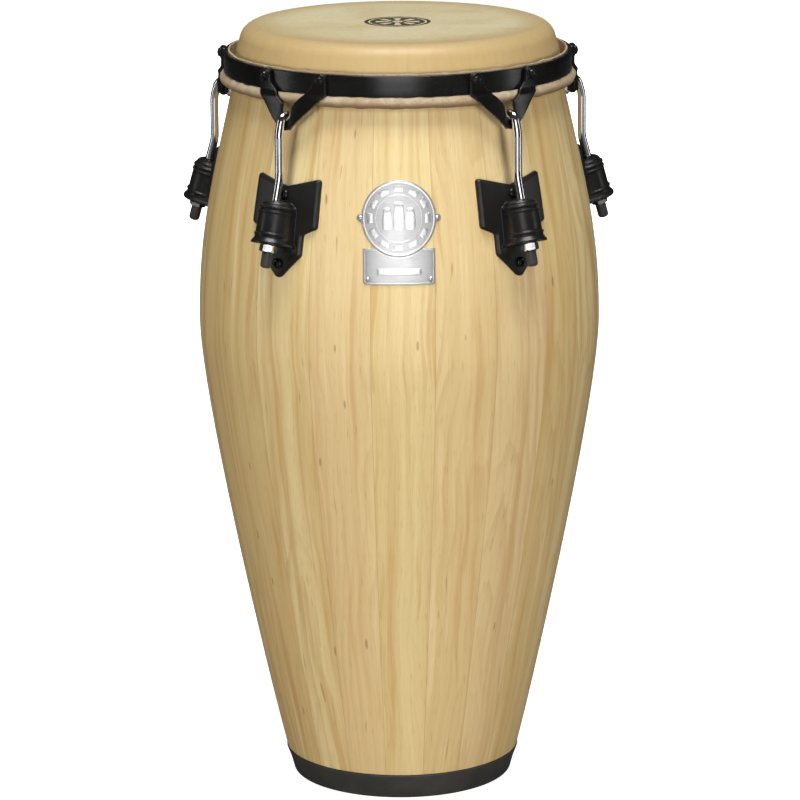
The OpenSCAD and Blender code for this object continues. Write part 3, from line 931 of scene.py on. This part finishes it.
def rod_path():
    """The rod's centre line from the hook's tip to its lower end, and how far up the thread."""
    a = np.radians(np.linspace(180, 16, 30))
    hook = np.column_stack([VERTEX_X + HOOK_BEND * np.cos(a), HOOK_Z + HOOK_BEND * np.sin(a)])
    tip = [(VERTEX_X - HOOK_BEND, z) for z in np.linspace(HOOK_Z - 7.5, HOOK_Z, 6)[:-1]]
    last = hook[-1]
    top = last[1] - (ROD_X - last[0]) / math.tan(NECK_LEAN)
    low = NUT_Z + (NUT_X - ROD_X) / math.tan(LEAN)
    end = (NUT_X + ROD_END * math.sin(LEAN), NUT_Z - ROD_END * math.cos(LEAN))
    line = rounded([tuple(last) + (0,), (ROD_X, top, 30.0), (ROD_X, low, 36.0), end + (0,)],
                   1.2, closed=False)
    path = [*tip, *hook[:-1].tolist()]
    for p, q in zip(line[:-1], line[1:]):
        on_thread = q[1] < NUT_Z + (THREAD_TOP + 4) * math.cos(LEAN)
        step = PITCH / 7 if on_thread and math.dist(p, q) > 20 else 1.6
        k = max(1, int(math.dist(p, q) / step))
        path += [(p[0] + (q[0] - p[0]) * j / k, p[1] + (q[1] - p[1]) * j / k) for j in range(k)]
    return np.array(path + [line[-1]])


def build_hooks():
    path = rod_path()
    up = np.array([-math.sin(LEAN), math.cos(LEAN)])
    height = (path - np.array([NUT_X, NUT_Z])) @ up

    def radius(i, a):
        h = height[i]
        r = np.full(len(a), ROD_R)
        if path[i, 0] > ROD_X and h < THREAD_TOP:
            turn = (h / PITCH - a / (2 * math.pi)) % 1.0
            run = min(1.0, (THREAD_TOP - h) / 3.0)
            r -= 0.62 * run * np.abs(2 * turn - 1)
            r -= max(0.0, 1.2 - (h + ROD_END)) * 0.8
        from_tip = i * 1.5
        return r - max(0.0, 1.0 - from_tip) * 0.9

    verts, faces = swept(path, radius, 28)
    hook = mesh_piece("hook_rod_1", verts, faces, CHROME, "hook_1", "chrome_rod",
                      ["tension_hook_1"], sharp=50, turn=lug_turn(1))
    cap_top, tip = -4.2, -17.7
    cap = rounded([(0, tip, 0), (5.0, tip, 3.2), (5.0, cap_top, 0.5), (4.02, cap_top, 0),
                   (4.02, -ROD_END, 0), (0, -ROD_END, 0)], 10)
    verts, faces = turned(cap, 48)
    cap = mesh_piece("rod_cap_1", along_rod(verts), faces, RUBBER, "hook_1", "black_rubber",
                     ["end_cap_1"], sharp=50, turn=lug_turn(1))
    nut = mesh_piece("rod_nut_1", *hex_nut(6.8, 14.0, 4.12), CHROME, "nut_1", "chrome_rod",
                     ["tension_nut_1"], sharp=28, turn=lug_turn(1))
    for n in list(LUGS)[1:]:
        add_piece("hook_rod_%d" % n, hook.data, CHROME, "hook_%d" % n,
                  ["tension_hook_%d" % n], turn=lug_turn(n))
        add_piece("rod_cap_%d" % n, cap.data, RUBBER, "hook_%d" % n,
                  ["end_cap_%d" % n], turn=lug_turn(n))
        add_piece("rod_nut_%d" % n, nut.data, CHROME, "nut_%d" % n,
                  ["tension_nut_%d" % n], turn=lug_turn(n))


def hex_nut(height, flats, bore):
    """A hexagon nut round the rod, its corners chamfered and its bore countersunk."""
    steps = 96
    a = 2 * math.pi * np.arange(steps) / steps
    apothem = flats / 2
    out = apothem / np.cos((a % (math.pi / 3)) - math.pi / 6)
    half = height / 2
    ring = apothem * 0.95
    drop = (out - ring) * math.tan(math.radians(30))
    rows = []
    for sign in (-1, 1):
        side = [(np.full(steps, bore), np.full(steps, sign * (half - 0.5))),
                (np.full(steps, bore + 0.5), np.full(steps, sign * half)),
                (np.full(steps, ring), np.full(steps, sign * half)),
                (out, sign * (half - drop))]
        rows += side if sign < 0 else side[::-1]
    verts, faces = ring_rows(rows, steps, True)
    return along_rod(verts), faces


# ---------------------------------------------------------------- side plates

PLATE_T = 4.5
PLATE_TOP = 594.0
PLATE_LOW = 504.0
RECEIVER_R = 15.8
RECEIVER_Z = 3.5
RECEIVER_BACK = 3.5
BORE_R = 5.5


def plate_blank():
    """The flat plate with its dropped rim, bent over the shell."""
    corners = [(34.6, PLATE_TOP, 3.2), (0, PLATE_TOP - 9, 5.0), (-34.6, PLATE_TOP, 3.2),
               (-35.8, PLATE_TOP - 44, 3.0), (-22.8, PLATE_TOP - 50, 3.0),
               (-22.6, PLATE_LOW + 21.5, 4.0), (0, PLATE_LOW - 2.2, 6.0),
               (22.6, PLATE_LOW + 21.5, 4.0), (22.8, PLATE_TOP - 50, 3.0),
               (35.8, PLATE_TOP - 44, 3.0)]
    bm = flat_blank(rounded(corners, 15), PLATE_T, 0.0, grid=3.0, inset=(2.6, 1.9))
    bend_over(bm, lambda z: float(shell_r(z)) - 0.4)
    return face_list(bm)


def receiver_blank():
    """The hollow boss that stands along the rod, and the block that carries it."""
    z = RECEIVER_Z
    r = RECEIVER_R
    profile = [(0, z), (r + 2.8, z), (r + 2.8, z + 2.0), (r + 1.6, z + 3.6), (r + 0.5, z + 5.6),
               (r + 0.2, z + 7.6), (r + 1.3, z + 8.2), (r + 1.3, z + 9.6), (r, z + 10.2),
               (r, z + 27.6), (r + 0.8, z + 28.2), (r + 0.8, z + 29.6), (r - 0.8, z + 30.2),
               (r - 0.8, z + 31.6), (r + 0.6, z + 32.2), (r + 0.6, z + 33.8), (r - 1.2, z + 34.6),
               (r - 1.4, z + 36.0), (r - 2.2, z + 37.6), (r - 4.2, z + 38.9),
               (r - 7.4, z + 39.6), (0, z + 39.6)]
    boss = turned(profile, 96)
    low, high, deep = z, z + 34.0, 27.0
    half = r + 0.2
    rows = [(low, half + 2.6), (low + 2.0, half + 2.6), (low + 3.6, half + 1.4),
            (low + 5.6, half + 0.3), (high, half - 0.3), (high + 2.6, half - 3.0)]
    verts = [(x, y, h) for h, w in rows for x, y in
             ((-deep, 3 - w), (0, -w), (0, w), (-deep, w - 3))]
    faces = [(i * 4 + j, i * 4 + (j + 1) % 4, i * 4 + 4 + (j + 1) % 4, i * 4 + 4 + j)
             for i in range(len(rows) - 1) for j in range(4)]
    faces += [(3, 2, 1, 0), tuple(4 * (len(rows) - 1) + j for j in range(4))]
    shift = np.array([-RECEIVER_BACK, 0, 0])
    return [(along_rod(np.asarray(v) + shift), f) for v, f in (boss, (verts, faces))]


def build_lug_plates():
    parts = [plate_blank(), *receiver_blank()]
    verts, faces = join(parts)
    me = raw_mesh("lug_plate", verts, faces)
    weld(me, 1e-7)
    ob = linked("lug_plate", me)
    remesh = ob.modifiers.new("cast", "REMESH")
    remesh.mode = "VOXEL"
    remesh.voxel_size = 0.5 * MM
    soften = ob.modifiers.new("soften", "SMOOTH")
    soften.factor = 0.5
    soften.iterations = 2
    thin = ob.modifiers.new("thin", "DECIMATE")
    thin.ratio = 0.16
    cast = applied(ob)
    co = np.empty(len(cast.vertices) * 3)
    cast.vertices.foreach_get("co", co)
    co = co.reshape(-1, 3) / MM
    r = np.hypot(co[:, 0], co[:, 1])
    seat = shell_r(co[:, 2]) + 0.02
    sunk = r < seat
    co[sunk, :2] *= (seat / np.maximum(r, 1))[sunk, None]
    cast.vertices.foreach_set("co", (co * MM).ravel())
    ob.data = cast
    v, f = rod_shape(BORE_R, -6, 60, 48)
    holes = [(along_rod(v), f)]
    for z in BOLT_Z:
        v, f = rod_shape(BOLT_R + 0.15, -8, 12, 32)
        holes.append((on_shell(v, z, 0.0), f))
    cut(ob, *join(holes))
    cast = ob.data
    bpy.data.objects.remove(ob)
    for n in LUGS:
        add_piece("lug_casting_%d" % n, cast, CASTING, SHELL,
                  ["side_plate_%d" % n], sharp=34, turn=lug_turn(n))


def socket_screw():
    """A button-head screw with a hexagon socket, from its tail up to its head."""
    steps = 48
    a = 2 * math.pi * np.arange(steps) / steps
    seat, round_ = PLATE_T - 0.35, np.ones(steps)
    key = 2.0 / np.cos((a % (math.pi / 3)) - math.pi / 6)
    dome = [(4.9, seat), (4.9, seat + 0.9), (4.72, seat + 1.5), (4.25, seat + 2.1),
            (3.5, seat + 2.6), (2.75, seat + 2.85)]
    rows = [(0.0 * a, -WALL - 9), (2.4 * round_, -WALL - 9), (BOLT_R * round_, -WALL - 8.3),
            (BOLT_R * round_, seat)]
    rows += [(r * round_, z) for r, z in dome]
    rows += [(key * 1.06, seat + 2.9), (key, seat + 2.7), (key, seat + 1.3),
             (0.0 * a, seat + 0.9)]
    return ring_rows(rows, steps, False)


def build_screws():
    v, f = socket_screw()
    parts = [(on_shell(v, z, lug_turn(n)), f) for n in LUGS for z in BOLT_Z]
    mesh_piece("plate_screws", *join(parts), BLACK, SHELL, "black_steel", ["plate_bolts"],
               sharp=35)


# ---------------------------------------------------------------- badge and name plate

BADGE_Z = 562.0
BADGE_R = 33.0
EAR_Y = 34.0
NAME_Z = 519.7
BADGE_T = 1.2


def on_front(bm, lift=0.0):
    """Bends a blank over the front of the shell and turns it to face -Y."""
    bend_over(bm, lambda z: float(shell_r(z)) + lift)
    bmesh.ops.rotate(bm, verts=bm.verts, cent=(0, 0, 0),
                     matrix=Matrix.Rotation(math.radians(-90), 3, "Z"))


def band(inner, outer, half_angle, turn=0.0, steps=40):
    """A flat ring, or part of one, as an outline round the badge's centre."""
    if half_angle >= math.pi:
        a = np.linspace(0, 2 * math.pi, 97)[:-1]
        ring = [(outer * math.sin(t), BADGE_Z + outer * math.cos(t)) for t in a]
        hole = [(inner * math.sin(t), BADGE_Z + inner * math.cos(t)) for t in a]
        return ring, [hole]
    a = turn + np.linspace(-half_angle, half_angle, steps)
    out = [(outer * math.sin(t), BADGE_Z + outer * math.cos(t)) for t in a]
    out += [(inner * math.sin(t), BADGE_Z + inner * math.cos(t)) for t in a[::-1]]
    return out, []


def relief(outline, holes, low, high, bevel):
    """A raised part of the badge, from height low to height high over the shell."""
    bm = flat_blank(outline, high - low, bevel, holes, grid=4.0)
    on_front(bm, low)
    return face_list(bm)


def round_outline(cy, cz, rx, rz, steps=48):
    a = np.linspace(0, 2 * math.pi, steps + 1)[:-1]
    return [(cy + rx * math.sin(t), cz + rz * math.cos(t)) for t in a]


def badge_outline():
    """The disc with a small nail ear on each side."""
    out = []
    for t in np.linspace(0, 2 * math.pi, 241)[:-1]:
        y, z = math.sin(t), math.cos(t)
        reach = BADGE_R
        near = EAR_Y * abs(y)
        off = EAR_Y**2 - near**2
        if off < 3.2**2:
            reach = max(reach, near + math.sqrt(3.2**2 - off))
        out.append((reach * y, BADGE_Z + reach * z))
    return out


def drum_outline(cy, cz, height, wide):
    """A little barrel drum, seen from the side."""
    out = []
    for t in np.linspace(0, 1, 13):
        w = wide * (0.60 + 0.40 * math.sin(math.pi * (0.24 + 0.62 * t)) ** 1.5)
        out.append((cy + w, cz + height * (t - 0.5)))
    return out + [(2 * cy - y, z) for y, z in out[::-1]]


def build_badge():
    nails = [round_outline(side * EAR_Y, BADGE_Z, 0.95, 0.95, 20) for side in (-1, 1)]
    parts = [relief(badge_outline(), nails, 0.02, 0.72, 0.16)]
    parts.append(relief(*band(30.6, 32.7, math.pi), 0.6, BADGE_T, 0.18))
    parts.append(relief(*band(20.3, 21.1, math.pi), 0.6, 1.0, 0.12))
    # twelve plain bars in the border and a row of three drums in the middle
    for k in range(12):
        parts.append(relief(*band(23.4, 28.2, math.radians(9.5), k * math.pi / 6, 9),
                            0.6, 1.0, 0.14))
    for cy, cz, high, wide in ((-10.6, BADGE_Z - 1.2, 17, 4.4), (0, BADGE_Z + 1, 22, 5.2),
                               (10.6, BADGE_Z - 1.2, 17, 4.4)):
        parts.append(relief(drum_outline(cy, cz, high, wide), [], 0.6, 1.05, 0.14))
        top = cz + high / 2 + 1.5
        parts.append(relief(round_outline(cy, top, wide * 0.80, 1.0, 24), [], 0.6, 1.05, 0.12))
    mesh_piece("round_badge", *join(parts), [BADGE_GROUND, BADGE], SHELL, "satin_badge",
               ["badge_disc"], sharp=30, second_from=len(parts[0][1]))


def build_name_plate():
    half_w, half_h = 31.8, 15.8
    top = NAME_Z + half_h
    gap = BADGE_R + 0.25

    def outline(less):
        reach = gap + less
        t0 = math.acos(max(-1.0, min(1.0, (BADGE_Z - (top - less)) / reach)))
        dip = [(reach * math.sin(t), BADGE_Z - reach * math.cos(t))
               for t in np.linspace(t0, -t0, 30)]
        corners = [(-half_w + less, top - less, 0), (-half_w + less, NAME_Z - half_h + less,
                                                     3.0 - less * 0.6),
                   (half_w - less, NAME_Z - half_h + less, 3.0 - less * 0.6),
                   (half_w - less, top - less, 0)]
        return dip + rounded(corners, 18, closed=False)

    nails = [round_outline(side * 28, NAME_Z - 11.2, 0.95, 0.95, 20) for side in (-1, 1)]
    parts = [relief(outline(0.0), nails, 0.02, 0.8, 0.16)]
    rim = outline(0.9)
    inner = outline(1.7)
    parts.append(relief(rim, [inner], 0.7, 1.05, 0.10))
    # a plain raised panel
    panel = rounded([(-20, NAME_Z - 1.4, 1.2), (-20, NAME_Z - 7.4, 1.2),
                     (20, NAME_Z - 7.4, 1.2), (20, NAME_Z - 1.4, 1.2)], 18)
    parts.append(relief(panel, [], 0.7, 1.15, 0.14))
    mesh_piece("plain_plate", *join(parts), [BADGE_GROUND, BADGE], SHELL, "satin_badge",
               ["name_plate"], sharp=30, second_from=len(parts[0][1]))


def build_pins():
    pin = rounded([(0, -9, 0), (0.8, -7, 0), (0.8, BADGE_T - 0.3, 0), (2.1, BADGE_T - 0.3, 0),
                   (2.05, BADGE_T + 0.25, 0.2), (1.3, BADGE_T + 0.85, 0.8),
                   (0, BADGE_T + 1.15, 0)], 14, closed=False)
    v, f = turned(pin, 32, closed=False)
    turn = math.radians(-90)
    parts = [(on_shell(v, z, turn, side), f) for z, side in
             ((BADGE_Z, -EAR_Y), (BADGE_Z, EAR_Y), (NAME_Z - 11.2, -28), (NAME_Z - 11.2, 28))]
    mesh_piece("badge_pins", *join(parts), BADGE, SHELL, "satin_badge", ["badge_nails"],
               sharp=40)


build_shell()
build_foot()
build_head()
build_ring()
build_hangers()
build_hooks()
build_lug_plates()
build_screws()
build_badge()
build_name_plate()
build_pins()

for name in ("flesh_hoop", "plate_washers", "plate_nuts"):
    node = bpy.data.objects[name]
    for place in node.material_slots:
        place.material = ZINC


# ---------------------------------------------------------------- stage

FLOOR_Z = -0.0003


def floor_material():
    """White paper to the camera, grey paper to bounced light, dark paper to reflections."""
    s = Shader("floor")
    cloud = s.noise(s.point, 1.3, 2.0)
    tone = s.mix(s.span(cloud, 0.3, 0.7, 0.0, 0.02), (0.85, 0.85, 0.85), (0.82, 0.82, 0.82))
    s.set(Base_Color=tone, Roughness=0.9, Specular_IOR_Level=0.1,
          Emission_Color=(1.0, 1.0, 1.0, 1.0), Emission_Strength=0.96)
    path = s.node("ShaderNodeLightPath")
    grey = s.node("ShaderNodeBsdfDiffuse")
    s.feed(grey.inputs["Color"], s.mix(path.outputs["Is Glossy Ray"], (0.42, 0.32, 0.22),
                                       (0.10, 0.10, 0.10)))
    mix = s.node("ShaderNodeMixShader")
    out = s.tree.nodes["Material Output"]
    s.feed(mix.inputs[0], path.outputs["Is Camera Ray"])
    s.feed(mix.inputs[1], grey.outputs[0])
    s.feed(mix.inputs[2], s.bsdf.outputs[0])
    s.feed(out.inputs["Surface"], mix.outputs[0])
    return s.mat


def build_floor():
    me = bpy.data.meshes.new("floor")
    corners = [(x, y, FLOOR_Z) for x, y in ((-7, -7), (7, -7), (7, 12), (-7, 12))]
    me.from_pydata(corners, [], [(0, 1, 2, 3)])
    me.materials.append(floor_material())
    linked("floor", me)


def soft_box(name, at, aim, wide, high, power, lights=True, shine=True):
    light = bpy.data.lights.new(name, "AREA")
    light.shape = "RECTANGLE"
    light.size = wide
    light.size_y = high
    light.energy = power
    ob = linked(name, light)
    ob.location = at
    ob.rotation_euler = (Vector(aim) - Vector(at)).to_track_quat("-Z", "Y").to_euler()
    ob.visible_diffuse = lights
    ob.visible_glossy = shine


def build_world():
    scene = bpy.context.scene
    world = bpy.data.worlds.new("studio")
    scene.world = world
    world.use_nodes = True
    tree = world.node_tree
    tree.nodes.clear()
    path = tree.nodes.new("ShaderNodeLightPath")
    mix = tree.nodes.new("ShaderNodeMixShader")
    out = tree.nodes.new("ShaderNodeOutputWorld")
    tree.links.new(path.outputs["Is Camera Ray"], mix.inputs[0])
    # a dim warm fill for the drum, plain white for the camera
    for k, colour, strength in ((1, (1.0, 0.92, 0.82, 1), 0.04), (2, (1, 1, 1, 1), 1.0)):
        glow = tree.nodes.new("ShaderNodeBackground")
        glow.inputs["Color"].default_value = colour
        glow.inputs["Strength"].default_value = strength
        tree.links.new(glow.outputs[0], mix.inputs[k])
    tree.links.new(mix.outputs[0], out.inputs["Surface"])


def build_camera():
    scene = bpy.context.scene
    data = bpy.data.cameras.new("camera")
    data.lens = 198.9
    data.sensor_width = 36.0
    ob = linked("camera", data)
    ob.location = (0.0, -4.005, 1.320)
    pitch = Matrix.Rotation(math.radians(90 - 13.54), 4, "X")
    roll = Matrix.Rotation(math.radians(-0.38), 4, "Z")
    ob.rotation_euler = (pitch @ roll).to_euler()
    scene.camera = ob


build_floor()
build_world()
build_camera()
soft_box("left", (-2.50, -3.18, 0.60), (0, 0, 0.20), 1.2, 1.2, 75, shine=False)
soft_box("right", (2.50, -3.18, 0.60), (0, 0, 0.20), 1.2, 1.2, 77, shine=False)
soft_box("front", (0.0, -5.0, 1.0), (0, 0, 0.35), 2.2, 2.4, 44, lights=False)
soft_box("low", (0.0, -2.5, 0.22), (0, 0, 0.5), 1.1, 0.4, 1.7, lights=False)
soft_box("top", (0.0, -0.8, 3.2), (0, 0, 0.2), 1.6, 1.0, 72)
soft_box("back", (0.0, 4.2, 1.3), (0, 0, 0.35), 1.6, 1.4, 90, shine=False)
for side in (-1, 1):
    soft_box("strip", (side * 2.56, -0.45, 0.7), (0, 0, 0.45), 0.25, 1.8, 5, lights=False)
bpy.context.scene.view_settings.view_transform = "Standard"
